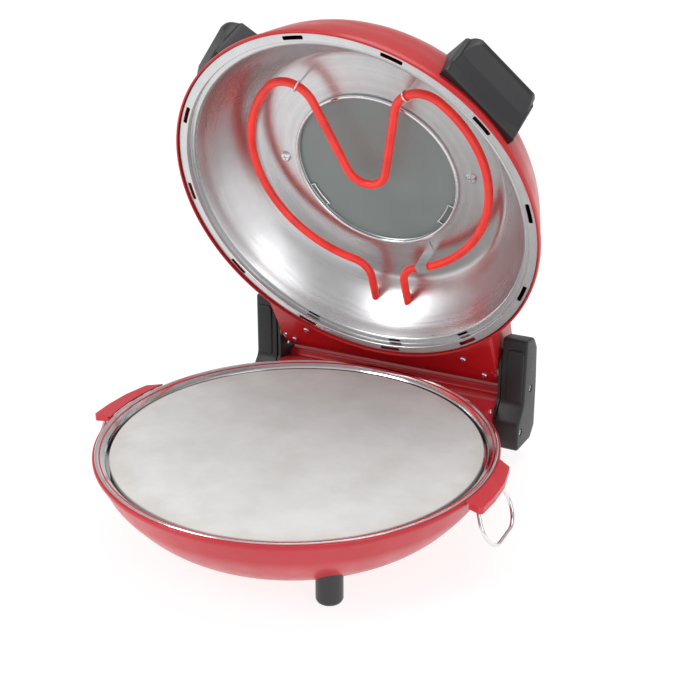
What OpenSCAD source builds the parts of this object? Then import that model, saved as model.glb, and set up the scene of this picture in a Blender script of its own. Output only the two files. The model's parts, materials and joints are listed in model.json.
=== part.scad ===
// Electric pizza maker: round lower bowl with a baking stone, domed lid on a rear hinge.
// Millimetres. The table is z = 0, +Y points to the hinge, +X to the object's right.
// The lid is drawn in its own frame (rim circle at z = 0, dome upwards) and is stood open about the hinge axis.

/* [Overall] */
// Outer diameter of the lower bowl's rim flange
rim_d = 340; // [336:1:344]
// Height of the rim above the table
rim_h = 72; // [71:1:76]
// How far the lid stands open in the rest pose, degrees
lid_open = 67.5; // [0:0.1:67.5]

/* [Baking stone] */
// Diameter of the stone
stone_d = 313; // [300:1:313]
// Thickness of the stone
stone_t = 10; // [8:0.5:10]

/* [Heating elements] */
// Diameter of the heating tube
tube_d = 7.5; // [6.5:0.1:8]
// Height of the upper element inside the lid, above the lid's rim
upper_z = 41; // [38:0.5:44]
// Depth of the lower element below the bowl's rim
lower_z = 32; // [28:0.5:34]

/* [Window] */
// Radius of the glass disc in the lid
glass_r = 79; // [78:0.5:80]
// Thickness of each glass
glass_t = 4; // [3:0.5:4]

/* [Hinge] */
// Distance of the hinge axis behind the bowl's centre
hinge_y = 176.6; // [176.4:0.1:177]
// Height of the hinge axis above the rim
hinge_z = 15.7; // [15.5:0.1:16]
// Radius of the hollow hinge pins
pin_r = 3.6; // [3.4:0.1:3.7]
// Radial running clearance of pins and spindles
run_gap = 0.05; // [0.02:0.01:0.09]

/* [Feet] */
// Diameter of a foot
foot_d = 21.5; // [18:0.5:23]
// Radius of the circle on which the feet stand
foot_pcd_r = 132.5; // [130:0.5:134]

/* [Handles] */
// Angle of each lid handle from the object's X axis, degrees to the front
handle_a = 41; // [36:1:46]
// Width of a handle
handle_w = 72; // [60:1:76]

/* [Hidden] */
$fn = 96;

RED = [0.72, 0.08, 0.10];
STEEL = [0.78, 0.78, 0.80];
BLACK = [0.09, 0.09, 0.10];
GLOW = [0.95, 0.12, 0.06];

x_shift = -4.39;             // these two put the origin under the middle of the whole part, lid open
y_shift = -31.97;
arm_x0 = 118.4;              // inner edge of the black hinge covers
arm_x1 = 141.4;              // outer face of the black hinge covers
house_x = 114;               // half width of the lid's hinge housing
knob_y = 174;                // place of the knob on the hinge housing
house_top = 55;              // top of the hinge housing above the lid's rim

// ---------- helpers ----------
function unit(v) = v / norm(v);
function corner(a, b, c, r, n) = let (u = unit(a - b), v = unit(c - b), h = acos(u * v) / 2,
    ctr = b + unit(u + v) * r / sin(h), p = b + u * r / tan(h), q = b + v * r / tan(h),
    a0 = atan2(p[1] - ctr[1], p[0] - ctr[0]), a1 = atan2(q[1] - ctr[1], q[0] - ctr[0]),
    da = ((a1 - a0) % 360 + 540) % 360 - 180)
    [for (i = [0:n]) ctr + r * [cos(a0 + da * i / n), sin(a0 + da * i / n)]];
// polygon with rounded corners: each entry is [x, y, radius]
function rp(p, n = 5) = [for (i = [0:len(p) - 1]) let (a = p[(i + len(p) - 1) % len(p)], b = p[i], c = p[(i + 1) % len(p)])
    each (b[2] > 0 ? corner([a[0], a[1]], [b[0], b[1]], [c[0], c[1]], b[2], n) : [[b[0], b[1]]])];
function rrect(w, h, r) = rp([[-w/2, -h/2, r], [w/2, -h/2, r], [w/2, h/2, r], [-w/2, h/2, r]], 4);
// a pressed sheet: the upper face's points and the same points moved by d
function sheet(p, d) = concat(p, [for (i = [len(p) - 1:-1:0]) p[i] + d]);
module rev(p) { rotate_extrude($fn = 180) polygon(p); }
// polygon in (y, z) drawn out along x
module xprism(p, x0, x1) { translate([x0, 0, 0]) rotate([90, 0, 90]) linear_extrude(x1 - x0) polygon(p); }
module xcyl(x0, x1, y, z, r) { translate([x0, y, z]) rotate([0, 90, 0]) cylinder(h = x1 - x0, r = r); }
module both() { children(); mirror([1, 0, 0]) children(); }
module base() { translate([x_shift, y_shift, rim_h]) children(); }
// lid frame: closed, the lid's rim plane lies 2 mm above the bowl's rim
module lid() {
  translate([x_shift, y_shift + hinge_y, rim_h + hinge_z]) rotate([-lid_open, 0, 0]) translate([0, -hinge_y, 2 - hinge_z]) children();
}
// a bent round bar: each step is [0, length] or [radius, turn]; straights reach a little way into the bends
module run(s, d, i = 0) {
  if (i < len(s)) {
    if (s[i][0] == 0) {
      a = i == 0 ? 0 : 0.3; e = i == len(s) - 1 ? 0 : 0.3;
      translate([-a, 0, 0]) rotate([0, 90, 0]) cylinder(h = s[i][1] + a + e, d = d - 0.12, $fn = 24);
      translate([s[i][1], 0, 0]) run(s, d, i + 1);
    } else {
      r = s[i][0]; t = s[i][1]; m = t > 0 ? 0 : 1;
      mirror([0, m, 0]) translate([0, r, 0]) rotate([0, 0, -90]) rotate_extrude(angle = abs(t), $fn = 72) translate([r, 0]) circle(d = d, $fn = 24);
      translate([0, (m ? -1 : 1) * r, 0]) rotate([0, 0, t]) translate([0, (m ? 1 : -1) * r, 0]) run(s, d, i + 1);
    }
  }
}
module panhead(r, h) { rotate_extrude($fn = 32) polygon([[0, 0], [r, 0], [r, h * 0.45], [r * 0.72, h], [0, h]]); }
// a screw along +z, head on top of z = 0, shank below
module screw(r, h, sr, l) {
  difference() { panhead(r, h); for (a = [0, 90]) rotate([0, 0, a]) translate([-r * 0.55, -0.35, h * 0.45]) cube([r * 1.1, 0.7, h]); }
  translate([0, 0, -l]) cylinder(h = l, r = sr, $fn = 24);
}

// ---------- sheet profiles ----------
bowl_out = [[168.6, -1.2], [168.6, -4], [166.8, -8], [163.2, -16], [160.4, -22], [156.4, -28.2],
  [151, -35], [144.4, -42.6], [136.5, -50], [128, -56], [118, -60.2], [106, -61.6], [0, -61.6]];
pan_top = [[168, 0.8], [167.3, 1.25], [166.2, 1.05], [160.3, -3.1], [159.3, -4.2], [159.1, -13.5], [149.5, -13.5], [147.8, -14.8],
  [145, -22], [138.5, -33], [128, -42], [120, -44.5], [0, -44.5]];
shell_out = [[168.6, 0], [169, 0.5], [169, 4.4], [168.4, 5.4], [167.2, 6], [165.7, 6.4], [165.4, 8], [164.5, 14], [162, 24], [158.5, 34], [154, 46],
  [148, 57], [140, 68], [131, 76.5], [119, 83.5], [105, 87], [86, 88]];
liner_in = [[166.3, 2.4], [159.4, 2.4], [158.8, 3.4], [158.8, 7.4], [158.2, 8], [154.6, 8], [153.8, 7.2], [153, 8], [151.6, 11.5], [148, 20],
  [141.5, 32], [132.5, 45], [125, 53.2], [119, 57.2], [112, 58], [75.5, 58]];
dome_solid = concat([[0, -60], [170, -60], [170, -0.2]], shell_out, [[0, 88.2]]);
bowl_solid = concat([[0, 1.6], [rim_d/2 + 1.5, 1.6], [rim_d/2 + 1.5, -3.4], [168.8, -3.4]], [for (i = [1:len(bowl_out) - 1]) bowl_out[i]]);
bowl_gap = concat([[0, 1.6], [rim_d/2 + 1.5, 1.6], [rim_d/2 + 1.5, -3.6], [169.1, -3.6]], [for (i = [1:len(bowl_out) - 2]) bowl_out[i] + [0.35, -0.2]], [[0, -61.8]]);

// ---------- heating tube path, half of it, from the middle of the inner loop ----------
half_path = [[19, -73.3], [0, 69.1], [25, 115.3], [0, 1], [100, 48], [0, 1], [108, 75], [0, 1], [20, -75], [0, 53]];
full_path = concat([for (i = [9:-1:1]) half_path[i]], [[19, -146.6]], [for (i = [1:9]) half_path[i]]);
function step(p, s) = s[0] == 0 ? [p[0] + s[1] * cos(p[2]), p[1] + s[1] * sin(p[2]), p[2]]
  : let (g = sign(s[1]) * s[0], c = [p[0] - g * sin(p[2]), p[1] + g * cos(p[2])], h = p[2] + s[1]) [c[0] + g * sin(h), c[1] - g * cos(h), h];
function walk(s, p, n, i = 0) = i == n ? p : walk(s, step(p, s[i]), n, i + 1);
end_x = walk(half_path, [0, 2, 0], 10)[0];     // where the tube's cold ends run
end_y = walk(half_path, [0, 2, 0], 10)[1];
lobe = walk(half_path, [0, 2, 0], 2);          // start of the tube's front lobe
lobe_c = [lobe[0] - 25 * sin(lobe[2]), lobe[1] + 25 * cos(lobe[2])];
foot_as = [-50.8, 69.2, 189.2];
module element(z) { translate([-end_x, end_y, z]) rotate([0, 0, -90]) run(full_path, tube_d); }

// ---------- base ----------
module base_bowl() { color(RED) base() difference() {
  union() {
    rev(concat([[166, 0], [rim_d/2 - 0.3, 0], [rim_d/2, -0.4], [rim_d/2, -3], [rim_d/2 - 1.2, -3], [rim_d/2 - 1.3, -1.2]], bowl_out, [[0, -60.6]],
      [for (i = [len(bowl_out) - 2:-1:1]) bowl_out[i] + [-1.0, 0.95]], [[167.4, -1.2], [166, -1.2]]));
  }
  for (a = [-1, 1]) translate([a * end_x, 130, -lower_z]) rotate([-90, 0, 0]) cylinder(h = 30, r = 6, $fn = 32);
  for (a = [30, 150, 270]) rotate([0, 0, a]) translate([62, 0, -70]) cylinder(h = 20, r = 2.1, $fn = 32);
  for (a = foot_as) rotate([0, 0, a]) translate([foot_pcd_r - 5, 0, -70]) cylinder(h = 30, r = 2.1, $fn = 32);
} }

module steel_pan() { color(STEEL) base() difference() {
  rev(concat(pan_top, [[0, -45.5]], [[120.2, -45.5], [128.8, -42.8], [139.4, -33.6], [146, -22.3], [148.6, -15.3], [149.6, -14.5],
    [160.1, -14.5], [160.3, -4.6], [160.9, -3.8], [165.6, 0.05], [168, 0.05]]));
  for (a = [-1, 1]) translate([a * end_x, 130, -lower_z]) rotate([-90, 0, 0]) cylinder(h = 40, r = 5, $fn = 32);
  for (a = [30, 150, 270]) rotate([0, 0, a]) translate([62, 0, -60]) cylinder(h = 20, r = 2.1, $fn = 24);
  for (a = [15:30:345]) rotate([0, 0, a]) translate([161.6, -5, -3.2]) rotate([0, -35, 0]) translate([0, 0, -3]) cube([1.6, 10, 6]);
} }

module baking_stone() { color([0.92, 0.91, 0.88]) base()
  rev([[0, -13.5], [stone_d/2 - 1, -13.5], [stone_d/2, -12.5], [stone_d/2, -14.5 + stone_t], [stone_d/2 - 1, -13.5 + stone_t], [0, -13.5 + stone_t]]); }

module lower_element() { color([0.35, 0.36, 0.38]) base() element(-lower_z); }

module lower_element_brackets() { color(STEEL) base()
  for (p = [[0, 0, 0], [111.7, -15, 0], [-111.7, -15, 0]]) translate([p[0], p[1] + (p[0] == 0 ? 2 : 0), 0]) {
    h0 = 44.5 - lower_z - tube_d / 2;
    translate([-5, -5, -44.5]) cube([10, 10, 1]);
    translate([-5, -5, -44.5]) cube([1, 10, h0]);
    translate([-5, -5, -44.5 + h0 - 1]) cube([10, 10, 1]);
  } }

module pan_screws() { color(STEEL) base() for (a = [30, 150, 270]) rotate([0, 0, a]) translate([62, 0, -61.6]) {
  mirror([0, 0, 1]) screw(4, 2.2, 2, 19.3);
  translate([0, 0, 1.05]) difference() { cylinder(h = 15, r = 4, $fn = 32); translate([0, 0, -1]) cylinder(h = 18, r = 2.05, $fn = 32); }
  translate([0, 0, 17.15]) difference() { cylinder(h = 3, r = 3.8, $fn = 6); translate([0, 0, -1]) cylinder(h = 9, r = 2.05, $fn = 32); }
} }

module feet() { color(BLACK) base() for (a = foot_as) rotate([0, 0, a]) difference() {
  translate([foot_pcd_r, 0, -rim_h]) rotate_extrude($fn = 64)
    polygon([[0, 0], [foot_d/2 - 2.2, 0], [foot_d/2 - 0.8, 0.6], [foot_d/2, 2.2], [foot_d/2, 34], [0, 34]]);
  rev(bowl_solid);
  translate([foot_pcd_r - 5, 0, -rim_h - 1]) cylinder(h = 7, r = 4.2, $fn = 32);
  translate([foot_pcd_r - 5, 0, -rim_h - 1]) cylinder(h = 60, r = 2.1, $fn = 32);
} }

module foot_screws() { color(STEEL) base() for (a = foot_as) rotate([0, 0, a]) translate([foot_pcd_r - 5, 0, -rim_h + 6]) mirror([0, 0, 1]) screw(3.9, 2.4, 2, 13); }

// pressed side tabs welded to the rim flange: turned-down outer edge and two lugs that carry the wire bail
tab_c = -6;
tab_pts = rp([[150, 47, 0], [166, 39.5, 0], [177.4, 30.5, 4], [182.3, 6, 30], [183.2, -18, 20], [181.4, -42, 3], [170.5, -38, 3], [150, -34, 0]], 6);
tab_in = rp([[140, 62, 0], [164, 44, 0], [176.2, 29.9, 3.4], [180.9, 6, 30], [181.8, -18, 20], [180.1, -40.4, 2.4], [170.5, -36.6, 0], [140, -60, 0]], 6);
bail_x = 175;
bail_z = -5.4;
module tab_half() { difference() {
  union() {
    difference() {
      translate([0, 0, -4.6]) linear_extrude(5.6) polygon(tab_pts);
      translate([0, 0, -9]) linear_extrude(8.8) polygon(tab_in);
    }
    for (y = [-1, 1]) translate([0, tab_c + y * 22.5, 0]) difference() {
      translate([171, -1, -9.2]) cube([8, 2, 9.4]);
      translate([bail_x, -2, bail_z]) rotate([-90, 0, 0]) cylinder(h = 4, r = 1.7 + run_gap, $fn = 32);
    }
  }
  rotate_extrude($fn = 180) polygon([[0, -20], [rim_d/2, -20], [rim_d/2, 2], [0, 2]]);
} }
module side_tabs() { color(RED) base() both() tab_half(); }

// wire bail: bent round bar that widens downwards, its ends turned in through the lugs
bail_run = [[0, 4.6], [3.4, 65], [0, 8], [18, 115], [0, 20.6], [18, 115], [0, 8], [3.4, 65], [0, 4.6]];
module bail(lean) { translate([bail_x, tab_c, bail_z]) rotate([0, 90 - lean, 0]) rotate([0, 0, -90]) translate([20.6, 0, 0]) run(bail_run, 3.4); }
module wire_bail_right() { color(STEEL) base() bail(26); }
module wire_bail_left() { color(STEEL) base() mirror([1, 0, 0]) bail(8); }

// ---------- rear housing of the base ----------
rivet_yz = [[166.5, -47], [190, -46.5], [190, -24]];
cover_screw_yz = [[187.3, -0.8], [165, -36.3]];
side_rivet = [154.7, -15.8];
wire_z = -30;
deck_top = [[60, -11.9], [136.6, -11.9], [169, -11.3], [190.4, -15], [192.4, -8], [200.9, -8]];
module rear_housing() { color(RED) base() difference() {
  xprism(concat([[60, -53], [199.5, -53], [199.5, -9.3], [193.35, -9.3]], [[191.2, -16.4], [169, -12.6], [136.6, -13.2], [60, -13.2]]), -115, 115);
  xprism([[50, -51.8], [210, -51.8], [210, 10], [50, 10]], -113.8, 113.8);
  rev(bowl_gap);
  for (a = foot_as) rotate([0, 0, a]) translate([foot_pcd_r, 0, -60]) cylinder(h = 24, d = foot_d + 0.8, $fn = 64);
  both() {
    for (p = rivet_yz) xcyl(110, 120, p[0], p[1], 2.05);
    xcyl(110, 120, side_rivet[0], side_rivet[1], 1.55);
    xcyl(110, 120, hinge_y, wire_z, 2.6);
  }
} }
module rear_deck() { color(RED) base() difference() {
  xprism(sheet(deck_top, [0, -1.2]), -115, 115);
  rev(bowl_gap);
} }
module deck_rivets() { color(STEEL) base() both() translate([115, side_rivet[0], side_rivet[1]]) rotate([0, 90, 0]) { panhead(2.7, 1.4); translate([0, 0, -2.6]) cylinder(h = 2.6, r = 1.5, $fn = 32); } }
module rear_back_plate() { color(RED) base() difference() {
  xprism([[199.6, -53], [200.8, -53], [200.8, -9.3], [199.6, -9.3]], -115, 115);
  translate([-74, 190, -45.2]) cube([28, 20, 20.4]);
  for (x = [-105, 105]) translate([x, 180, -46.6]) rotate([-90, 0, 0]) cylinder(h = 30, r = 1.8, $fn = 32);
  for (x = [20:8:76]) translate([x, 190, -44]) cube([3, 20, 18]);
} }
module back_plate_screws() { color(STEEL) base() for (x = [-105, 105]) {
  translate([x, 200.8, -46.6]) rotate([-90, 0, 0]) screw(3.4, 2, 1.7, 9);
  translate([x, 195, -46.6]) difference() { translate([-5, -3, -5]) cube([10, 6, 9.5]); translate([0, -10, 0]) rotate([-90, 0, 0]) cylinder(h = 30, r = 1.7, $fn = 32); }
} }
module power_inlet() { color(BLACK) base() difference() {
  union() {
    translate([-76, 200.85, -47.2]) cube([32, 2, 24.4]);
    translate([-73.8, 172, -45]) cube([27.6, 29, 20]);
  }
  translate([-60, 0, -35]) rotate([-90, 0, 0]) translate([0, 0, 179]) linear_extrude(40) polygon(rrect(24, 16, 2.5));
  for (x = [-6, 0, 6]) translate([-60 + x - 1, 160, -36 + (x == 0 ? 2.6 : 0)]) cube([2, 40, 2]);
} }
module inlet_pins() { color(STEEL) base() for (x = [-6, 0, 6]) translate([-60 + x - 1, 165, -36 + (x == 0 ? 2.6 : 0)]) cube([2, 32, 2]); }
module terminal_block() { color([0.9, 0.89, 0.85]) base() difference() {
  translate([10, 178, -51.75]) cube([44, 16, 14]);
  for (x = [17, 27, 37, 47]) { translate([x, 160, -45]) rotate([-90, 0, 0]) cylinder(h = 60, r = 2, $fn = 32); translate([x, 186, -44]) cylinder(h = 10, r = 2.4, $fn = 32); }
} }
module base_wiring() { color([0.8, 0.75, 0.3]) base() {
  translate([17, 193.8, -45]) rotate([0, 0, -90]) run([[0, 15.2]], 2.6);
  translate([122, hinge_y, hinge_z]) rotate([90, 0, 0]) run([[0, 2], [6, -90], [0, hinge_z - wire_z - 12], [6, -90], [0, 60]], 3.5);
} }

// ---------- hinge ----------
bracket_pts = rp([[161, -50.6, 4], [193, -50.6, 6], [201.4, -42, 6], [199.4, 31, 8], [171.4, 31, 6], [171.3, -9.5, 5], [161, -25, 5]], 5);
module bracket() { difference() {
  xprism(bracket_pts, 115, 117.6);
  xcyl(110, 120, hinge_y, hinge_z, pin_r + run_gap);
  xcyl(110, 120, hinge_y, wire_z, 2.6);
  for (p = rivet_yz) xcyl(110, 120, p[0], p[1], 2.05);
  for (p = cover_screw_yz) xcyl(110, 120, p[0], p[1], 2.05);
} }
module hinge_bracket_right() { color(BLACK) base() bracket(); }
module hinge_bracket_left() { color(BLACK) base() mirror([1, 0, 0]) bracket(); }
module bracket_rivets() { color(STEEL) base() both() for (p = rivet_yz) {
  xcyl(112.6, 117.6, p[0], p[1], 2);
  xcyl(117.6, 118.3, p[0], p[1], 3.4);
  xcyl(112.6, 113.75, p[0], p[1], 3.4);
} }
arm_out = rp([[170.7, 52, 3], [191.5, 48.5, 7], [200.5, 37, 6], [204, 0, 0], [205.5, -45, 6], [195, -55.5, 5], [158.6, -53.5, 4], [156.8, -44.5, 6], [157.3, -26, 10], [169.7, -11, 12]], 5);
arm_in = rp([[173, 49.4, 2], [190.4, 46.2, 5], [198.2, 36, 4], [201.6, 0, 0], [203.1, -44, 4], [194, -53, 3], [161, -51.1, 2], [159.3, -44.5, 4], [159.8, -27, 8], [172.1, -12.2, 10]], 5);
module cover() { difference() {
  union() {
    difference() { xprism(arm_out, arm_x0, arm_x1); xprism(arm_in, arm_x0 - 1, arm_x1 - 2.4); }
    for (p = cover_screw_yz) xcyl(arm_x0, arm_x1 - 2, p[0], p[1], 4.4);
    xprism([[168.7, -8], [171.6, -8], [172.4, 41.5], [170.1, 41.5], [169.3, 40]], 123.5, 139.4);
  }
  for (p = cover_screw_yz) { xcyl(arm_x0 - 1, arm_x1 + 1, p[0], p[1], 2.1); xcyl(arm_x1 - 2.6, arm_x1 + 1, p[0], p[1], 3.6); }
} }
module hinge_cover_right() { color(BLACK) base() cover(); }
module hinge_cover_left() { color(BLACK) base() mirror([1, 0, 0]) cover(); }
module hinge_cover_screws() { color(STEEL) base() both() for (p = cover_screw_yz)
  translate([arm_x1 - 2.6, p[0], p[1]]) rotate([0, 90, 0]) screw(3.4, 2, 2, arm_x1 - 2.6 - 115.1); }

// ---------- lid ----------
slot_as = [-151, -96.5, -67, -37, -7, 24, 55.5, 86.5, 117, 147, 178.5];
module lid_shell() { color(RED) lid() difference() {
  rev(concat(shell_out, [[81.5, 88], [81.5, 87], [86, 87], [104.8, 86], [118.4, 82.6], [130.3, 75.6], [139.1, 67.2], [147, 56.3], [153, 45.4], [157.5, 33.5], [161, 23.7],
    [163.5, 13.8], [164.4, 8], [164.4, 4.6], [167.4, 4.6], [167.4, 0]]));
  for (a = [-1, 1]) translate([a * end_x, 140, upper_z]) rotate([-90, 0, 0]) cylinder(h = 40, r = 6, $fn = 32);
  for (a = handle_as, t = [-1, 1]) rotate([0, 0, a]) translate([140, t * 22, 22]) rotate([0, 90, 0]) cylinder(h = 40, r = 2.1, $fn = 32);
} }
module lid_liner() { color(STEEL) lid() difference() {
  rev(concat(liner_in, [[75.5, 59], [112.3, 59], [119.6, 58.1], [125.8, 53.9], [133.4, 45.6], [142.4, 32.5], [149, 20.4], [152.6, 11.8], [153.9, 9], [158.8, 9], [159.8, 8], [159.8, 3.4], [166.3, 3.4]]));
  for (a = [-1, 1]) translate([a * end_x, 120, upper_z]) rotate([-90, 0, 0]) cylinder(h = 20, r = 3.9, $fn = 32);
  for (a = slot_as) rotate([0, 0, a]) translate([160.9, -9.2, 1]) cube([3.5, 18.4, 4]);
  for (a = [57, 85, 116]) rotate([0, 0, a]) translate([155.2, -6, 6]) cube([2.5, 12, 4]);
  for (x = [-90.5, 90.5]) translate([x, -5, 50]) cylinder(h = 20, r = 1.6, $fn = 32);
} }
module window_sleeve() { color(STEEL) lid() difference() {
  rev([[80, 59.02], [97, 59.02], [97, 60], [81, 60], [81, 81.6], [86, 81.6], [86, 82.5], [80, 82.5]]);
  for (x = [-90.5, 90.5]) translate([x, -5, 50]) cylinder(h = 20, r = 1.6, $fn = 32);
} }
module disc(r, z, t) { rev([[0, z], [r - 0.6, z], [r, z + 0.6], [r, z + t - 0.6], [r - 0.6, z + t], [0, z + t]]); }
module inner_glass() { color([0.6, 0.7, 0.68, 0.5]) lid() disc(glass_r, 59.02, glass_t); }
module outer_glass() { color([0.6, 0.7, 0.68, 0.5]) lid() disc(glass_r + 6, 87 - glass_t, glass_t); }
module glass_gasket() { color([0.7, 0.2, 0.15]) lid() rev([[80.2, 82.5], [85.6, 82.5], [85.6, 87 - glass_t], [80.2, 87 - glass_t]]); }
module window_bezel() { color(STEEL) lid() rev([[79.6, 87.05], [81.4, 87.05], [81.4, 88.05], [88, 88.05], [88.4, 88.6], [86.5, 90], [83, 90.4], [80.6, 89.6], [79.6, 88.4]]); }
module window_ring() { color(STEEL) lid() rotate_extrude($fn = 128) translate([76.9, 56.35]) circle(r = 1.6, $fn = 24); }
module ring_clips() { color(STEEL) lid() for (a = [22, 142]) rotate([0, 0, a]) {
  rotate_extrude(angle = 20, $fn = 96) translate([70.6, 58]) circle(r = 0.9, $fn = 20);
  for (b = [0.8, 19.2]) rotate([0, 0, b]) translate([70.6, 0, 58]) rotate([0, 90, 0]) cylinder(h = 4.6, r = 0.75, $fn = 20);
} }
module upper_element() { color(GLOW) lid() element(upper_z); }
module element_clips() { color(STEEL) lid() both() translate([lobe_c[0], lobe_c[1], upper_z]) rotate([0, 0, -118.6]) translate([25, 0, 0]) {
  rotate([90, 0, 0]) rotate_extrude($fn = 48) translate([tube_d / 2 + 0.95, 0]) circle(r = 0.9, $fn = 20);
  translate([0, 0, tube_d / 2 + 1.2]) cylinder(h = 58 - upper_z - tube_d / 2 - 1.2, r = 0.9, $fn = 20);
} }
arc_end = walk(half_path, [0, 2, 0], 7);
module element_bracket() { color(STEEL) lid() translate([arc_end[0] + 7.5, arc_end[1] - 2.3, upper_z]) rotate([0, 0, 162]) {
  translate([-6, tube_d / 2 + 0.1, -tube_d / 2 - 0.9]) cube([12, 0.9, 58 - upper_z + tube_d / 2 + 0.9]);
  translate([-6, -tube_d / 2, -tube_d / 2 - 0.9]) cube([12, tube_d + 0.2, 0.8]);
  translate([-6, tube_d / 2 + 0.1, 57 - upper_z]) cube([12, 12, 1]);
} }
module liner_screws() { color(STEEL) lid() for (x = [-90.5, 90.5]) translate([x, -5, 58]) mirror([0, 0, 1]) screw(5, 2.2, 1.55, 6); }
module element_bushes() { color([0.9, 0.88, 0.82]) lid() both() translate([end_x, 0, upper_z]) rotate([-90, 0, 0]) difference() {
  union() { translate([0, 0, 140.5]) cylinder(h = 14, r = 5.6, $fn = 48); translate([0, 0, end_y]) translate([-0.4, -3, 0]) cube([0.8, 6, 7]); }
  translate([0, 0, 130]) cylinder(h = end_y - 130, d = tube_d + 0.1, $fn = 32);
} }

// ---------- lid handles ----------
handle_as = [-handle_a, handle_a - 180];
handle_sec = rp([[140, 12, 0], [168.4, 12, 1.5], [167.2, 24, 4], [170, 36, 8], [176.5, 47, 5], [179.5, 51.5, 2], [178.5, 56, 2], [170, 58.6, 4], [140, 60, 0]], 4);
module handle() { difference() {
  intersection() {
    rotate([90, 0, 0]) translate([0, 0, -50]) linear_extrude(100) polygon(handle_sec);
    linear_extrude(100) polygon(rp([[120, -handle_w / 2 - 2, 0], [167.6, -handle_w / 2 - 2, 3], [168.4, -handle_w / 2 + 1, 2], [180, -handle_w / 2 + 1, 13],
      [180, handle_w / 2 - 1, 13], [168.4, handle_w / 2 - 1, 2], [167.6, handle_w / 2 + 2, 3], [120, handle_w / 2 + 2, 0]], 6));
  }
  rev(dome_solid);
  for (t = [-1, 1]) translate([130, t * 22, 22]) rotate([0, 90, 0]) cylinder(h = 36.4, r = 2.05, $fn = 32);
} }
module lid_handle_right() { color(BLACK) lid() rotate([0, 0, handle_as[0]]) handle(); }
module lid_handle_left() { color(BLACK) lid() mirror([1, 0, 0]) rotate([0, 0, handle_as[0]]) handle(); }
module handle_screws() { color(STEEL) lid() for (a = handle_as, t = [-1, 1]) rotate([0, 0, a]) translate([158.6, t * 22, 22]) rotate([0, -90, 0]) screw(3.6, 2, 2, 7.4); }

// ---------- hinge housing on the lid ----------
house_out = rp([[80, 0.6, 0], [100, -1.6, 0], [131.5, 3.4, 0], [190, 10.9, 6], [200, 18, 6], [200, house_top, 7], [80, house_top, 0]], 5);
house_in = rp([[60, -4, 0], [120, -4, 0], [131.5, 4.6, 0], [189.5, 12.2, 5], [198.8, 18.8, 5], [198.8, house_top - 1.2, 6], [60, house_top - 1.2, 0]], 5);
module hinge_housing() { color(RED) lid() difference() {
  xprism(house_out, -house_x, house_x);
  xprism(house_in, -house_x + 1.2, house_x - 1.2);
  xprism([[60, -20], [187.9, -20], [187.9, 12.5], [60, 20]], -house_x + 1.2, house_x - 1.2);
  rev(dome_solid);
  translate([0, knob_y, 40]) cylinder(h = 40, r = 4.6, $fn = 48);
  translate([46, knob_y, 40]) cylinder(h = 40, r = 4.55, $fn = 48);
  for (x = [-8, 8]) translate([x, knob_y, 40]) cylinder(h = 40, r = 1.6, $fn = 32);
  both() xcyl(112, 120, hinge_y, hinge_z - 2, pin_r + 0.1);
} }
module housing_bottom_plate() { color(RED) lid() difference() {
  xprism([[90, -1.89], [131.5, 3.4], [187.8, 10.62], [187.8, 11.82], [131.5, 4.6], [90, -0.69]], -house_x + 1.25, house_x - 1.25);
  rev(dome_solid);
  rotate_extrude($fn = 180) polygon([[0, -9], [170, -9], [170, 9], [0, 9]]);
  both() translate([106.6, 170, 0]) cube([8, 14.4, 20]);
  both() for (p = plate_screw) translate([p[0], p[1], 0]) cylinder(h = 20, r = 1.6, $fn = 32);
} }
plate_screw = [[100, 182], [82, 164]];
module bottom_plate_screws() { color(STEEL) lid() both() for (p = plate_screw) translate([p[0], p[1], 10.62 - (187.8 - p[1]) * 0.1282 - 0.06]) rotate([7.3, 0, 0]) mirror([0, 0, 1]) screw(3, 1.4, 1.5, 6); }
module lid_hinge_plates() { color(STEEL) lid() both() difference() {
  xprism(rp([[160, 13, 3], [168.6, 13, 3], [171.6, 9, 3], [181.8, 9.6, 3], [186.6, 14, 3], [197, 22, 4], [197, 46, 4], [160, 46, 4]], 4), 110.2, 112.7);
  xcyl(100, 120, hinge_y, hinge_z - 2, pin_r);
} }
module hinge_pins() { color(STEEL) lid() both() difference() {
  union() {
    xcyl(107.6, 110.15, hinge_y, hinge_z - 2, pin_r + 1.2);
    xcyl(107.6, 121, hinge_y, hinge_z - 2, pin_r);
  }
  xcyl(100, 130, hinge_y, hinge_z - 2, 2);
} }
module friction_washers() { color(STEEL) lid() both() difference() { xcyl(114.05, 114.9, hinge_y, hinge_z - 2, 5.6); xcyl(110, 120, hinge_y, hinge_z - 2, pin_r + 0.05); } }
module thermostat_body() { color([0.85, 0.83, 0.78]) lid() difference() {
  union() { translate([-11, knob_y - 10, 38]) cube([22, 20, house_top - 1.25 - 38]); translate([0, knob_y, 45]) cylinder(h = house_top + 0.7 - 45, r = 4.5, $fn = 48); }
  translate([0, knob_y, 43]) cylinder(h = 30, r = 3 + run_gap, $fn = 48);
  for (x = [-8, 8]) translate([x, knob_y, 44]) cylinder(h = 30, r = 1.55, $fn = 32);
} }
module thermostat_screws() { color(STEEL) lid() for (x = [-8, 8]) translate([x, knob_y, house_top]) screw(2.6, 0.9, 1.5, 8); }
module dial_plate() { color([0.8, 0.8, 0.8]) lid() difference() {
  translate([0, knob_y, house_top]) cylinder(h = 0.8, r = 24, $fn = 96);
  translate([0, knob_y, house_top - 1]) cylinder(h = 4, r = 11.5, $fn = 64);
} }
module thermostat_knob() { color(BLACK) lid() translate([0, knob_y, house_top + 1.2]) difference() {
  union() {
    rotate_extrude($fn = 96) polygon([[0, 0], [18, 0], [18.4, 0.6], [18, 4], [15.5, 5.4], [14.8, 13.6], [13.6, 15], [0, 15]]);
    translate([-1.2, -17.2, 3]) cube([2.4, 17.2, 13]);
  }
  rotate_extrude($fn = 64) polygon([[4, -1], [13, -1], [13, 3], [4, 3]]);
  cylinder(h = 10, r = 3, $fn = 48);
} }
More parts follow.
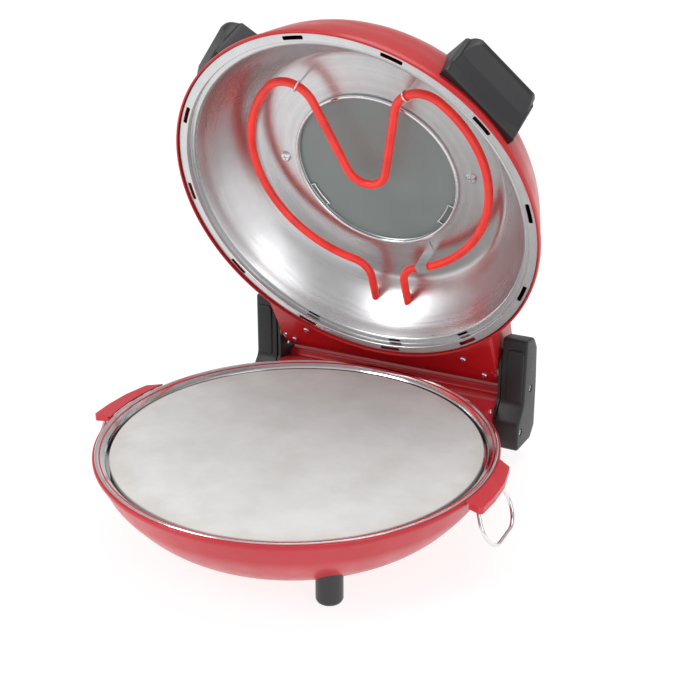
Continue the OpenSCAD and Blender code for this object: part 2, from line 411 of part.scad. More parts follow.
module thermostat_spindle() { color(STEEL) lid() translate([0, knob_y, 43.5]) cylinder(h = house_top + 1.2 + 10 - 43.5, r = 3, $fn = 48); }
module pilot_lamp() { color([1, 0.55, 0.1]) lid() translate([46, knob_y, 0]) {
  translate([0, 0, 38]) cylinder(h = house_top - 38 + 0.1, r = 4.5, $fn = 48);
  translate([0, 0, house_top]) rotate_extrude($fn = 48) polygon([[0, 0], [6, 0], [6, 1.2], [5, 2.6], [3, 3.4], [0, 3.6]]);
} }
module lid_wiring() { color([0.8, 0.75, 0.3]) lid() translate([121, hinge_y, hinge_z - 2]) rotate([-72, 0, 0]) rotate([0, 0, 180])
  run([[0, 56], [14, 45], [0, 18], [14, -45], [0, 18]], 3.5); }

base_bowl();
steel_pan();
baking_stone();
lower_element();
lower_element_brackets();
pan_screws();
feet();
foot_screws();
side_tabs();
wire_bail_right();
wire_bail_left();
rear_housing();
rear_deck();
deck_rivets();
rear_back_plate();
back_plate_screws();
power_inlet();
inlet_pins();
terminal_block();
base_wiring();
hinge_bracket_right();
hinge_bracket_left();
bracket_rivets();
hinge_cover_right();
hinge_cover_left();
hinge_cover_screws();
lid_shell();
lid_liner();
window_sleeve();
inner_glass();
outer_glass();
glass_gasket();
window_bezel();
window_ring();
ring_clips();
upper_element();
element_clips();
element_bracket();
liner_screws();
element_bushes();
lid_handle_right();
lid_handle_left();
handle_screws();
hinge_housing();
housing_bottom_plate();
bottom_plate_screws();
lid_hinge_plates();
hinge_pins();
friction_washers();
thermostat_body();
thermostat_screws();
dial_plate();
thermostat_knob();
thermostat_spindle();
pilot_lamp();
lid_wiring();
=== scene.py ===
import math, json
import bpy, bmesh
from mathutils import Vector, Matrix

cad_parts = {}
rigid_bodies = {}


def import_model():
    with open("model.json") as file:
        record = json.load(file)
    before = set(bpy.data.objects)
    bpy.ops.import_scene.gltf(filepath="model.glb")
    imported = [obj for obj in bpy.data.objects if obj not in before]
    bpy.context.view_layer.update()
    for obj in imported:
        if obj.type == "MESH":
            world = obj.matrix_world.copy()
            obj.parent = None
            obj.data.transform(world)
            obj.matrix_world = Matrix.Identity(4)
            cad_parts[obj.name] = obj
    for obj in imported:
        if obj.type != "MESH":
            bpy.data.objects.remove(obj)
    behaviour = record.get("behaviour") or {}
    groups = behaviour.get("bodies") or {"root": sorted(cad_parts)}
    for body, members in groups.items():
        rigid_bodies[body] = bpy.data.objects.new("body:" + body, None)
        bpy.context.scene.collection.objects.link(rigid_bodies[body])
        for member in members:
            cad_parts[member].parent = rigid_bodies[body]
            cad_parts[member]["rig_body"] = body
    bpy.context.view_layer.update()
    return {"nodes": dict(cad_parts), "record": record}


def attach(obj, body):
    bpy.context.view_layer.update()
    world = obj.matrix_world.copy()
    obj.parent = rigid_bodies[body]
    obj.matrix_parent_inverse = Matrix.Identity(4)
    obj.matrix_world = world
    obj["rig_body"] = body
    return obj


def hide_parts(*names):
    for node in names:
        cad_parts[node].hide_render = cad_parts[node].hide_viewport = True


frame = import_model()
NODES = frame["nodes"]

# ------------------------------------------------------------------ frames (millimetres in, metres out)
XS, YS, RH = -4.39, -31.97, 72.0
HY, HZ = 176.6, 15.7
OPEN = math.radians(67.5)
T = lambda x, y, z: Matrix.Translation((x, y, z))
BASE = Matrix.Scale(0.001, 4) @ T(XS, YS, RH)
LID = Matrix.Scale(0.001, 4) @ T(XS, YS + HY, RH + HZ) @ Matrix.Rotation(-OPEN, 4, "X") @ T(0, -HY, 2 - HZ)
rad = math.radians

# ------------------------------------------------------------------ camera
cam = bpy.data.objects.new("cam", bpy.data.cameras.new("cam"))
bpy.context.scene.collection.objects.link(cam)
cam.matrix_world = Matrix(((0.892526, -0.172051, 0.416888, 0.443433 + XS / 1000), (0.450994, 0.342674, -0.824123, -0.778696 + YS / 1000),
                           (-0.001065, 0.923566, 0.383439, 0.452215 + RH / 1000), (0, 0, 0, 1)))
cam.data.sensor_width = 36
cam.data.lens = 61.087
cam.data.clip_start, cam.data.clip_end = 0.05, 60
bpy.context.scene.camera = cam

# ------------------------------------------------------------------ small geometry kit
def unit(x, y):
    d = math.hypot(x, y)
    return x / d, y / d

def rp(p, n=5, closed=True):
    """polygon with rounded corners: entries are (x, y, radius)"""
    out = []
    m = len(p)
    for i in range(m):
        b = p[i]
        r = b[2] if len(b) > 2 else 0
        if r <= 0 or (not closed and i in (0, m - 1)):
            out.append((b[0], b[1]))
            continue
        a, c = p[i - 1], p[(i + 1) % m]
        ux, uy = unit(a[0] - b[0], a[1] - b[1])
        vx, vy = unit(c[0] - b[0], c[1] - b[1])
        h = math.acos(max(-1, min(1, ux * vx + uy * vy))) / 2
        if h > 1.55:
            out.append((b[0], b[1]))
            continue
        wx, wy = unit(ux + vx, uy + vy)
        cx, cy = b[0] + wx * r / math.sin(h), b[1] + wy * r / math.sin(h)
        px, py = b[0] + ux * r / math.tan(h), b[1] + uy * r / math.tan(h)
        qx, qy = b[0] + vx * r / math.tan(h), b[1] + vy * r / math.tan(h)
        a0, a1 = math.atan2(py - cy, px - cx), math.atan2(qy - cy, qx - cx)
        da = (a1 - a0 + math.pi) % (2 * math.pi) - math.pi
        out += [(cx + r * math.cos(a0 + da * k / n), cy + r * math.sin(a0 + da * k / n)) for k in range(n + 1)]
    return out

def curve(p, n=6):
    """smooth curve through the points"""
    out = []
    for i in range(len(p) - 1):
        p0, p1, p2, p3 = p[max(i - 1, 0)], p[i], p[i + 1], p[min(i + 2, len(p) - 1)]
        for k in range(n):
            t = k / n
            out.append(tuple(0.5 * (2 * p1[j] + (p2[j] - p0[j]) * t + (2 * p0[j] - 5 * p1[j] + 4 * p2[j] - p3[j]) * t * t
                                    + (3 * p1[j] - p0[j] - 3 * p2[j] + p3[j]) * t ** 3) for j in (0, 1)))
    return out + [tuple(p[-1][:2])]

def offset(p, d):
    """the open polyline moved d to its left"""
    out = []
    for i in range(len(p)):
        a, b = p[max(i - 1, 0)], p[min(i + 1, len(p) - 1)]
        ux, uy = unit(b[0] - a[0], b[1] - a[1])
        out.append((p[i][0] - uy * d, p[i][1] + ux * d))
    return out

def inset(p, d):
    """the closed polygon drawn in by d (d < 0 outwards)"""
    area = sum(p[i - 1][0] * p[i][1] - p[i][0] * p[i - 1][1] for i in range(len(p)))
    s = 1 if area > 0 else -1
    out = []
    for i in range(len(p)):
        a, b, c = p[i - 1], p[i], p[(i + 1) % len(p)]
        u, v = unit(b[0] - a[0], b[1] - a[1]), unit(c[0] - b[0], c[1] - b[1])
        nx, ny = -(u[1] + v[1]), u[0] + v[0]
        k = max(nx * nx + ny * ny, 1.2)
        out.append((b[0] + s * nx * 2 * d / k, b[1] + s * ny * 2 * d / k))
    return out

def lathe(loop, n=192):
    """a closed cross-section (r, z) turned about z; points with r = 0 close on the axis"""
    v, f, ring = [], [], []
    for r, z in loop:
        if r < 1e-6:
            ring.append([len(v)] * n)
            v.append((0, 0, z))
        else:
            ring.append(list(range(len(v), len(v) + n)))
            v += [(r * math.cos(2 * math.pi * j / n), r * math.sin(2 * math.pi * j / n), z) for j in range(n)]
    for i in range(len(loop)):
        a, b = ring[i], ring[(i + 1) % len(loop)]
        for j in range(n):
            q = [a[j], a[(j + 1) % n], b[(j + 1) % n], b[j]]
            q = [x for k, x in enumerate(q) if x not in q[:k]]
            if len(q) > 2:
                f.append(q)
    return v, f

def prism(poly, x0, x1, r0=0.0, r1=0.0, n=4, axes="yzx"):
    """a closed outline drawn out from x0 to x1 with rounded edges of radius r0 and r1"""
    rings = []
    for x, r, s in ((x0, r0, -1), (x1, r1, 1)):
        steps = [0] if r <= 0 else [90 * k / n for k in range(n + 1)]
        part = [(inset(poly, r * (1 - math.cos(rad(a)))) if r > 0 else poly, x - s * r * (1 - math.sin(rad(a)))) for a in steps]
        rings += part if s > 0 else part[::-1]
    v, f = [], []
    m = len(poly)
    where = {"x": 0, "y": 1, "z": 2}
    for ring, x in rings:
        for p in ring:
            q = [0, 0, 0]
            q[where[axes[0]]], q[where[axes[1]]], q[where[axes[2]]] = p[0], p[1], x
            v.append(tuple(q))
    for i in range(len(rings) - 1):
        for j in range(m):
            f.append([i * m + j, i * m + (j + 1) % m, (i + 1) * m + (j + 1) % m, (i + 1) * m + j])
    f.append(list(range(m)))
    f.append(list(range((len(rings) - 1) * m, len(rings) * m)))
    return v, f

def loft(rings):
    """closed rings of the same number of points, in order, with caps"""
    v, f, m = [], [], len(rings[0])
    for ring in rings:
        v += ring
    for i in range(len(rings) - 1):
        for j in range(m):
            f.append([i * m + j, i * m + (j + 1) % m, (i + 1) * m + (j + 1) % m, (i + 1) * m + j])
    f.append(list(range(m)))
    f.append(list(range((len(rings) - 1) * m, len(rings) * m)))
    return v, f

def sweep(path, r, n=20, r_of=None):
    """a round bar along a path of 3-D points"""
    P = [Vector(p) for p in path]
    tans = [(P[min(i + 1, len(P) - 1)] - P[max(i - 1, 0)]).normalized() for i in range(len(P))]
    up = tans[0].orthogonal().normalized()
    rings = []
    for i, p in enumerate(P):
        up = (up - tans[i] * up.dot(tans[i])).normalized()
        side = tans[i].cross(up)
        rr = r_of(i / (len(P) - 1)) if r_of else r
        rings.append([tuple(p + rr * (math.cos(2 * math.pi * k / n) * up + math.sin(2 * math.pi * k / n) * side)) for k in range(n)])
    return loft(rings)

def join(*parts):
    v, f = [], []
    for pv, pf in parts:
        f += [[i + len(v) for i in q] for q in pf]
        v += pv
    return v, f

def moved(part, M):
    return [tuple(M @ Vector(p)) for p in part[0]], part[1]

def mirrored(part):
    return [(-x, y, z) for x, y, z in part[0]], [q[::-1] for q in part[1]]

def solid(part):
    me = bpy.data.meshes.new("tmp")
    me.from_pydata(part[0], [], part[1])
    bm = bmesh.new()
    bm.from_mesh(me)
    bmesh.ops.recalc_face_normals(bm, faces=bm.faces)
    bm.to_mesh(me)
    bm.free()
    ob = bpy.data.objects.new("tmp", me)
    bpy.context.scene.collection.objects.link(ob)
    return ob

def carve(a, b, op="DIFFERENCE"):
    """part a without part b, or their common part"""
    oa, ob = solid(a), solid(b)
    m = oa.modifiers.new("cut", "BOOLEAN")
    m.operation, m.solver, m.object = op, "EXACT", ob
    me = bpy.data.meshes.new_from_object(oa.evaluated_get(bpy.context.evaluated_depsgraph_get()))
    out = ([tuple(v.co) for v in me.vertices], [list(p.vertices) for p in me.polygons])
    bpy.data.objects.remove(oa)
    bpy.data.objects.remove(ob)
    return out

def shade(me, deg=32):
    bm = bmesh.new()
    bm.from_mesh(me)
    bmesh.ops.recalc_face_normals(bm, faces=bm.faces)
    for f in bm.faces:
        f.smooth = True
    for e in bm.edges:
        e.smooth = len(e.link_faces) == 2 and e.calc_face_angle(0) < rad(deg)
    bm.to_mesh(me)
    bm.free()

def in_box(part, M):
    """keeps a skin within the outer box of the construction model"""
    Mi, out = M.inverted(), []
    for v in part[0]:
        w = M @ Vector(v)
        c = Vector((min(max(w.x, -0.1875), 0.1875), min(max(w.y, -0.2019), 0.2019), min(max(w.z, 0.0), 0.40546)))
        out.append(tuple(Mi @ c) if (c - w).length > 1e-7 else tuple(v))
    return (out, part[1])

def piece(name, part, M, body, mat, replaces=(), deg=32, mods=()):
    part = in_box(part, M)
    me = bpy.data.meshes.new(name)
    me.from_pydata([M @ Vector(p) for p in part[0]], [], part[1])
    me.validate()
    ob = bpy.data.objects.new(name, me)
    bpy.context.scene.collection.objects.link(ob)
    if mods:
        for kind, settings in mods:
            m = ob.modifiers.new(kind, kind)
            for k, x in settings.items():
                setattr(m, k, x)
        new = bpy.data.meshes.new_from_object(ob.evaluated_get(bpy.context.evaluated_depsgraph_get()))
        ob.modifiers.clear()
        ob.data = new
    shade(ob.data, deg)
    ob.data.materials.clear()
    ob.data.materials.append(mat)
    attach(ob, body)
    if replaces:
        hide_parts(*replaces)
    return ob

def soften(node, width, mat, segs=3, deg=38, name=None, slot=None):
    """the CAD node's own shape with its sharp edges rounded"""
    src = NODES[node]
    me = src.data.copy()
    bm = bmesh.new()
    bm.from_mesh(me)
    bmesh.ops.remove_doubles(bm, verts=bm.verts, dist=2e-6)
    bmesh.ops.dissolve_limit(bm, angle_limit=rad(0.6), verts=bm.verts, edges=bm.edges)
    edges = [e for e in bm.edges if len(e.link_faces) == 2 and e.calc_face_angle(0) > rad(deg)]
    bmesh.ops.bevel(bm, geom=edges, offset=width / 1000, segments=segs, profile=0.5, affect="EDGES", clamp_overlap=True, loop_slide=True)
    bm.to_mesh(me)
    bm.free()
    ob = bpy.data.objects.new(name or node + "_rounded", me)
    bpy.context.scene.collection.objects.link(ob)
    shade(me, 32)
    me.materials.clear()
    me.materials.append(mat)
    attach(ob, src["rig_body"])
    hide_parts(node)
    return ob

# ------------------------------------------------------------------ materials
def nd(t, kind, ins=None, **attrs):
    n = t.nodes.new(kind)
    for k, v in attrs.items():
        setattr(n, k, v)
    for k, v in (ins or {}).items():
        s = n.inputs[k]
        if isinstance(v, bpy.types.NodeSocket):
            t.links.new(v, s)
        else:
            s.default_value = v
    return n

def ramp(t, fac, stops):
    n = nd(t, "ShaderNodeValToRGB", {"Fac": fac})
    el = n.color_ramp.elements
    while len(el) < len(stops):
        el.new(0.5)
    for e, (pos, c) in zip(el, stops):
        e.position = pos
        e.color = (*c, 1) if hasattr(c, "__len__") else (c, c, c, 1)
    return n.outputs["Color"]

def remap(t, v, a, b, c, d):
    return nd(t, "ShaderNodeMapRange", {"Value": v, "From Min": a, "From Max": b, "To Min": c, "To Max": d}).outputs["Result"]

def noise(t, vec, scale, detail=3.0, rough=0.5, dist=0.0):
    return nd(t, "ShaderNodeTexNoise", {"Vector": vec, "Scale": scale, "Detail": detail, "Roughness": rough, "Distortion": dist}).outputs["Fac"]

def mixc(t, fac, a, b):
    n = nd(t, "ShaderNodeMix", data_type="RGBA")
    for k, v in ((0, fac), (6, a), (7, b)):
        if isinstance(v, bpy.types.NodeSocket):
            t.links.new(v, n.inputs[k])
        elif k:
            n.inputs[k].default_value = (*v, 1)
        else:
            n.inputs[k].default_value = v
    return n.outputs[2]

def maths(t, op, a, b=0.0, c=0.0):
    n = nd(t, "ShaderNodeMath", operation=op)
    for k, v in enumerate((a, b, c)):
        if isinstance(v, bpy.types.NodeSocket):
            t.links.new(v, n.inputs[k])
        else:
            n.inputs[k].default_value = v
    return n.outputs[0]

class Mat:
    def __init__(s, name, **base):
        s.m = bpy.data.materials.new(name)
        s.m.use_nodes = True
        s.t = s.m.node_tree
        s.t.nodes.clear()
        s.out = s.t.nodes.new("ShaderNodeOutputMaterial")
        s.b = s.t.nodes.new("ShaderNodeBsdfPrincipled")
        s.t.links.new(s.b.outputs[0], s.out.inputs[0])
        s.vec = nd(s.t, "ShaderNodeTexCoord").outputs["Object"]
        for k, v in base.items():
            k = k.replace("_", " ")
            s.b.inputs[k].default_value = (*v, 1) if hasattr(v, "__len__") and len(v) == 3 else v
        s.height = None
    def link(s, key, sock):
        s.t.links.new(sock, s.b.inputs[key])
    def bump(s, height, strength, dist=0.0005):
        ins = {"Height": height, "Strength": strength, "Distance": dist}
        if s.height is not None:
            ins["Normal"] = s.height
        s.height = nd(s.t, "ShaderNodeBump", ins).outputs["Normal"]
        s.link("Normal", s.height)
    def local(s, lid):
        """position about the bowl's or lid's own axis: radius, angle and height in metres"""
        t = s.t
        c = (LID if lid else BASE) @ Vector((0, 0, 0))
        p = nd(t, "ShaderNodeVectorMath", {0: s.vec, 1: tuple(c)}, operation="SUBTRACT").outputs[0]
        if lid:
            p = nd(t, "ShaderNodeMapping", {"Vector": p, "Rotation": (OPEN, 0, 0)}).outputs[0]
        xyz = nd(t, "ShaderNodeSeparateXYZ", {0: p})
        x, y, z = xyz.outputs
        r = maths(t, "SQRT", maths(t, "ADD", maths(t, "MULTIPLY", x, x), maths(t, "MULTIPLY", y, y)))
        return p, x, y, z, r, maths(t, "ARCTAN2", y, x)

def enamel(name, col, dark, rough, lid):
    m = Mat(name, Roughness=rough, Coat_Weight=0.28, Coat_Roughness=0.12, Coat_IOR=1.42, IOR=1.42)
    t = m.t
    big = noise(t, m.vec, 9.0, 2.0)
    fine = noise(t, m.vec, 900.0, 2.0)
    c = mixc(t, remap(t, big, 0.35, 0.65, 0.0, 1.0), col, dark)
    speck = noise(t, m.vec, 2600.0, 1.0)
    c = mixc(t, remap(t, speck, 0.66, 0.74, 0.0, 0.25), c, tuple(min(1, x * 1.3 + 0.03) for x in col))
    # painted highlight: the base colour turns lighter red along convex edges, where pointiness is high
    painted_edge_highlight = nd(t, "ShaderNodeNewGeometry").outputs["Pointiness"]
    c = mixc(t, remap(t, painted_edge_highlight, 0.53, 0.60, 0.0, 0.35), c, tuple(min(1, x * 1.25 + 0.05) for x in col))
    m.link("Base Color", c)
    m.link("Roughness", remap(t, noise(t, m.vec, 60.0, 3.0), 0.3, 0.7, rough - 0.05, rough + 0.07))
    m.bump(fine, 0.10, 0.0002)
    m.bump(noise(t, m.vec, 180.0, 2.0), 0.06, 0.0004)
    return m.m

def spun(name, lid, col, r0, r1, lines=0.35, aniso=0.0, cloud=0.5, bump=0.12):
    """steel turned on a lathe: fine rings about the axis, soft clouding"""
    m = Mat(name, Metallic=1.0, Anisotropic=aniso)
    t = m.t
    p, x, y, z, r, a = m.local(lid)
    s = maths(t, "ADD", maths(t, "MULTIPLY", r, 1.0), maths(t, "MULTIPLY", z, 0.7))
    wob = maths(t, "MULTIPLY_ADD", noise(t, m.vec, 25.0, 2.0), 0.0012, s)
    ring = nd(t, "ShaderNodeTexNoise", {"W": wob, "Scale": 2200.0, "Detail": 2.0, "Roughness": 0.6}, noise_dimensions="1D").outputs["Fac"]
    broad = nd(t, "ShaderNodeTexNoise", {"W": wob, "Scale": 210.0, "Detail": 2.0, "Roughness": 0.5}, noise_dimensions="1D").outputs["Fac"]
    clouds = noise(t, m.vec, 14.0, 4.0, 0.55)
    smear = noise(t, m.vec, 70.0, 4.0, 0.6)
    f = maths(t, "ADD", maths(t, "MULTIPLY", ring, lines), maths(t, "MULTIPLY", clouds, 1.0 - lines))
    m.link("Roughness", remap(t, f, 0.35, 0.65, r0, r1))
    light = maths(t, "ADD", maths(t, "MULTIPLY", broad, 0.5), maths(t, "MULTIPLY", smear, 0.5))
    m.link("Base Color", mixc(t, remap(t, light, 0.35, 0.65, 0.0, 1.0), tuple(k * (1 - 0.22 * cloud) for k in col), col))
    m.bump(ring, bump, 0.00012)
    m.bump(clouds, 0.10, 0.0012)
    if aniso:
        d = nd(t, "ShaderNodeVectorMath", {0: tuple((LID if lid else BASE).to_3x3() @ Vector((0, 0, 1000))), 1: nd(
            t, "ShaderNodeVectorMath", {0: m.vec, 1: tuple((LID if lid else BASE) @ Vector((0, 0, 0)))}, operation="SUBTRACT").outputs[0]}, operation="CROSS_PRODUCT").outputs[0]
        w = nd(t, "ShaderNodeVectorTransform", {0: d}, vector_type="VECTOR", convert_from="OBJECT", convert_to="WORLD").outputs[0]
        m.link("Tangent", nd(t, "ShaderNodeVectorMath", {0: w}, operation="NORMALIZE").outputs[0])
    return m.m

def metal(name, col, rough, scale=(1, 1, 1), lines=300.0, bump=0.06, metallic=1.0):
    m = Mat(name, Metallic=metallic)
    t = m.t
    v = nd(t, "ShaderNodeMapping", {"Vector": m.vec, "Scale": scale}).outputs[0]
    streak = noise(t, v, lines, 3.0)
    dirt = noise(t, m.vec, 45.0, 4.0, 0.6)
    m.link("Roughness", remap(t, maths(t, "ADD", maths(t, "MULTIPLY", streak, 0.5), maths(t, "MULTIPLY", dirt, 0.5)), 0.3, 0.7, rough * 0.75, rough * 1.35))
    m.link("Base Color", mixc(t, remap(t, dirt, 0.35, 0.7, 0.0, 1.0), col, tuple(k * 0.86 for k in col)))
    m.bump(streak, bump, 0.0001)
    return m.m

def plastic(name, col, rough, grain=1400.0, bump=0.25, coat=0.0):
    m = Mat(name, IOR=1.46, Coat_Weight=coat, Coat_Roughness=0.25)
    t = m.t
    g = nd(t, "ShaderNodeTexVoronoi", {"Vector": m.vec, "Scale": grain, "Randomness": 1.0}).outputs["Distance"]
    g2 = noise(t, m.vec, grain * 1.7, 2.0)
    tone = noise(t, m.vec, 18.0, 3.0)
    # painted highlight: the base colour turns lighter along convex edges, where pointiness is high
    painted_edge_highlight = nd(t, "ShaderNodeNewGeometry").outputs["Pointiness"]
    c = mixc(t, remap(t, tone, 0.3, 0.7, 0.0, 1.0), col, tuple(k * 1.25 + 0.002 for k in col))
    c = mixc(t, remap(t, painted_edge_highlight, 0.52, 0.60, 0.0, 0.5), c, tuple(k * 2.2 + 0.02 for k in col))
    m.link("Base Color", c)
    m.link("Roughness", remap(t, maths(t, "ADD", maths(t, "MULTIPLY", g, 0.6), maths(t, "MULTIPLY", tone, 0.4)), 0.2, 0.7, rough - 0.06, rough + 0.08))
    m.bump(g, bump, 0.00018)
    m.bump(g2, bump * 0.4, 0.0001)
    return m.m

def stone_mat():
    m = Mat("stone", Roughness=0.62, IOR=1.45)
    t = m.t
    p, x, y, z, r, a = m.local(False)
    grain = noise(t, m.vec, 1500.0, 3.0, 0.7)
    pores = nd(t, "ShaderNodeTexVoronoi", {"Vector": m.vec, "Scale": 520.0}).outputs["Distance"]
    blot = noise(t, m.vec, 22.0, 5.0, 0.6)
    c = mixc(t, remap(t, blot, 0.35, 0.68, 0.0, 1.0), (0.80, 0.795, 0.785), (0.70, 0.69, 0.675))
    c = mixc(t, remap(t, grain, 0.60, 0.72, 0.0, 0.5), c, (0.55, 0.53, 0.50))
    c = mixc(t, remap(t, pores, 0.10, 0.02, 0.0, 0.45), c, (0.42, 0.40, 0.38))
    toast = remap(t, maths(t, "MULTIPLY_ADD", blot, 0.05, r), 0.165, 0.182, 0.0, 0.25)
    m.link("Base Color", mixc(t, toast, c, (0.60, 0.53, 0.44)))
    m.link("Roughness", remap(t, grain, 0.3, 0.7, 0.52, 0.75))
    m.bump(grain, 0.18, 0.00025)
    m.bump(pores, 0.25, 0.0002)
    return m.m

def glow_mat(name, hot):
    m = Mat(name, Roughness=0.38, IOR=1.5, Coat_Weight=0.35, Coat_Roughness=0.16)
    t = m.t
    p, x, y, z, r, a = m.local(True)
    v = noise(t, m.vec, 60.0, 3.0)
    fine = noise(t, m.vec, 900.0, 3.0)
    cold = remap(t, y, 0.118, 0.134, 0.0, 1.0)
    m.link("Base Color", mixc(t, remap(t, v, 0.3, 0.7, 0.0, 1.0), (0.72, 0.035, 0.02), (0.50, 0.02, 0.015)))
    m.link("Emission Color", mixc(t, remap(t, v, 0.3, 0.7, 0.0, 1.0), (1.0, 0.022, 0.012), (0.85, 0.012, 0.010)))
    m.link("Emission Strength", remap(t, cold, 0.0, 1.0, hot, hot * 0.75))
    m.link("Roughness", remap(t, fine, 0.3, 0.7, 0.30, 0.46))
    m.bump(fine, 0.2, 0.00015)
    return m.m

def glass_mat(name, tint, rough):
    m = Mat(name, Transmission_Weight=0.45, IOR=1.45)
    t = m.t
    smear = noise(t, m.vec, 26.0, 4.0, 0.6)
    m.link("Base Color", mixc(t, remap(t, smear, 0.3, 0.7, 0.0, 1.0), tint, tuple(k * 0.94 for k in tint)))
    m.link("Roughness", remap(t, smear, 0.3, 0.7, rough * 0.92, rough * 1.08))
    m.bump(noise(t, m.vec, 12.0, 1.0), 0.02, 0.0001)
    return m.m

def flat_noise(name, col, rough, scale=300.0, bump=0.1, metallic=0.0, **kw):
    m = Mat(name, Metallic=metallic, **kw)
    t = m.t
    v = noise(t, m.vec, scale, 4.0)
    m.link("Base Color", mixc(t, remap(t, v, 0.3, 0.7, 0.0, 1.0), col, tuple(k * 0.82 for k in col)))
    m.link("Roughness", remap(t, v, 0.3, 0.7, rough - 0.05, rough + 0.08))
    m.bump(v, bump, 0.0002)
    return m.m

def braid(name, col):
    m = Mat(name)
    t = m.t
    w = nd(t, "ShaderNodeTexWave", {"Vector": m.vec, "Scale": 420.0, "Distortion": 1.5, "Detail": 1.0}, bands_direction="DIAGONAL").outputs["Fac"]
    w2 = nd(t, "ShaderNodeTexWave", {"Vector": nd(t, "ShaderNodeMapping", {"Vector": m.vec, "Scale": (-1, 1, 1)}).outputs[0], "Scale": 420.0}, bands_direction="DIAGONAL").outputs["Fac"]
    k = maths(t, "MULTIPLY", w, w2)
    m.link("Base Color", mixc(t, k, tuple(c * 0.55 for c in col), col))
    m.link("Roughness", remap(t, k, 0, 1, 0.9, 0.7))
    m.bump(k, 0.4, 0.0003)
    return m.m

RED_LID = enamel("red_enamel_lid", (0.56, 0.012, 0.016), (0.48, 0.008, 0.012), 0.33, True)
# the base's red is a lighter, pinker copy of the lid's red: painted light, standing in for the pale floor's glow
# reflected onto the bowl
RED_BASE_PAINTED_LIGHT = enamel("red_enamel_base_painted_light", (0.60, 0.022, 0.036), (0.53, 0.016, 0.028), 0.38, False)
LINER = spun("liner_steel", True, (0.66, 0.66, 0.67), 0.24, 0.36, lines=0.45, aniso=0.5)
RING = spun("pan_steel", False, (0.86, 0.86, 0.87), 0.05, 0.13, lines=0.3, bump=0.04)
PLATE = metal("zinc_plate", (0.70, 0.70, 0.72), 0.32, (1, 1, 0.15))
WIRE = metal("bright_wire", (0.82, 0.82, 0.83), 0.14, (1, 1, 1), 700.0, 0.04)
SCREW = metal("screw_steel", (0.76, 0.76, 0.78), 0.20, (1, 1, 1), 900.0, 0.06)
BRASS = metal("pin_brass", (0.78, 0.72, 0.55), 0.22)
BLACK = plastic("black_plastic", (0.0099, 0.0099, 0.0113), 0.42)
BRACKET = metal("bracket_black_metal", (0.03, 0.03, 0.032), 0.45, metallic=0.2)
FOOT = plastic("foot_plastic", (0.016, 0.016, 0.018), 0.32, 900.0, 0.12)
STONE = stone_mat()
GLOW = glow_mat("heater_glow", 0.40)
DARK = metal("heater_dark", (0.20, 0.19, 0.19), 0.45)
GLASS = glass_mat("window_glass", (0.46, 0.53, 0.515), 0.30)
GLASS2 = glass_mat("outer_window_glass", (0.72, 0.78, 0.76), 0.12)
GASKET = flat_noise("gasket", (0.40, 0.07, 0.05), 0.6, 500.0)
CERAMIC = flat_noise("ceramic", (0.84, 0.82, 0.76), 0.32, 420.0, 0.05, Coat_Weight=0.3)
CASE = flat_noise("thermostat_case", (0.72, 0.69, 0.60), 0.5)
FIBRE = flat_noise("fibre", (0.30, 0.18, 0.10), 0.8, 600.0, 0.3)
DIAL = metal("dial_plate_metal", (0.80, 0.80, 0.81), 0.28, (1, 0.05, 1), 900.0, 0.05)
LAMP = flat_noise("lamp_lens", (0.90, 0.32, 0.04), 0.12, 200.0, 0.05, Coat_Weight=0.6)
SHEATH = braid("sheath", (0.72, 0.64, 0.24))
PRINT = flat_noise("print_black", (0.02, 0.02, 0.02), 0.6, 900.0, 0.05)
PRINT_W = flat_noise("print_white", (0.85, 0.85, 0.83), 0.5, 900.0, 0.05)

SLOT_MAT = {"red_enamel": RED_BASE_PAINTED_LIGHT, "pan_steel": RING, "stone": STONE, "heater_dark": DARK, "heater_glow": GLOW, "liner_steel": PLATE,
            "bright_wire": WIRE, "screw_steel": SCREW, "inlet_brass": BRASS, "black_plastic": BLACK, "foot_plastic": FOOT, "glass": GLASS,
            "gasket": GASKET, "bracket_black": BRACKET, "ceramic": CERAMIC, "thermostat_case": CASE, "fibre": FIBRE, "dial": DIAL, "lamp": LAMP, "sheath": SHEATH}
SLOT = {s["node"]: s["material_slot"] for s in frame["record"]["subparts"]}
for n, o in NODES.items():
    o.data.materials.clear()
    o.data.materials.append(SLOT_MAT[SLOT[n]])
for n, m in {"outer_glass": GLASS2, "lid_shell": RED_LID, "hinge_housing": RED_LID, "housing_bottom_plate": RED_LID, "lid_liner": LINER}.items():
    NODES[n].data.materials[0] = m

# ------------------------------------------------------------------ base: bowl, pan, stone
def between(pts, z):
    """radius of a profile at height z"""
    for a, b in zip(pts, pts[1:]):
        if min(a[1], b[1]) <= z <= max(a[1], b[1]) and a[1] != b[1]:
            return a[0] + (b[0] - a[0]) * (z - a[1]) / (b[1] - a[1])
    return pts[0][0] if abs(z - pts[0][1]) < abs(z - pts[-1][1]) else pts[-1][0]

BOWL = [(166.8, -8), (163.2, -16), (160.4, -22), (156.4, -28.2), (151, -35), (144.4, -42.6), (136.5, -50), (128, -56), (118, -60.2), (106, -61.6)]
wall = curve([(168.6, -2.9), (168.4, -4.4)] + BOWL, 5)
outer = rp([(163.5, 0, 0), (169.95, 0, 0.9), (169.95, -3, 0.5), (168.9, -3, 0.3), (168.8, -2.6, 0)], 4, closed=False)
outer = outer + wall + [(60, -61.6), (0, -61.6)]
inner_wall = offset(wall, -1.0)
inner = [(0, -60.6), (60, -60.6)] + inner_wall[::-1] + [(167.3, -1.3), (163.5, -1.3)]
bowl = lathe(outer + inner, 224)
piece("bowl_shell", bowl, BASE, "base", RED_BASE_PAINTED_LIGHT, ["base_bowl"])

